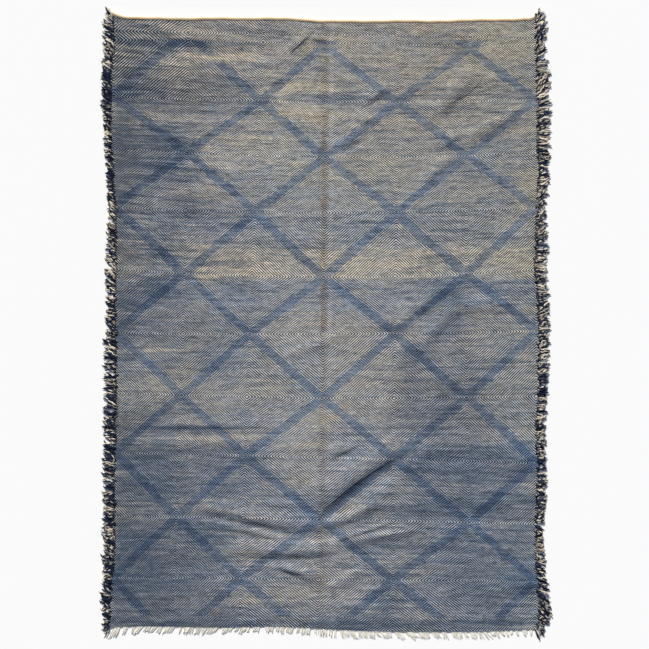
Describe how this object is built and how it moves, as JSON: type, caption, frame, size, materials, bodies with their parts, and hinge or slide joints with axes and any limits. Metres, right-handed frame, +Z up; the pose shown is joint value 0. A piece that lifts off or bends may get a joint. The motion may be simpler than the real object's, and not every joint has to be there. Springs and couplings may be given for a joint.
{
  "type": "zanafi rug",
  "caption": "Flat-woven wool rug with a diamond lattice over a fine twill, shaggy tufted sides and a short fringe at its foot, lying face up in soft folds.",
  "frame": {"origin": "on the floor, under the middle of the rug's box", "axes": "+Y along the rug's length, towards the end with the heading cord; +X across it, to the right as seen from above; +Z up, out of the face"},
  "size_m": [1.7342, 2.4078, 0.0249],
  "materials": {
    "field_wool": "matt hand-spun wool twill in indigo and cream",
    "heading_cord": "matt twined wool cord in warm cream",
    "weft_ends": "matt wool ends in indigo and cream",
    "warp_ends": "matt undyed wool ends"
  },
  "bodies": {
    "root": {"rug_field": "field_wool", "heading_cord": "heading_cord", "side_fringe_left": "weft_ends", "side_fringe_right": "weft_ends", "warp_fringe": "warp_ends"}
  },
  "joints": []
}
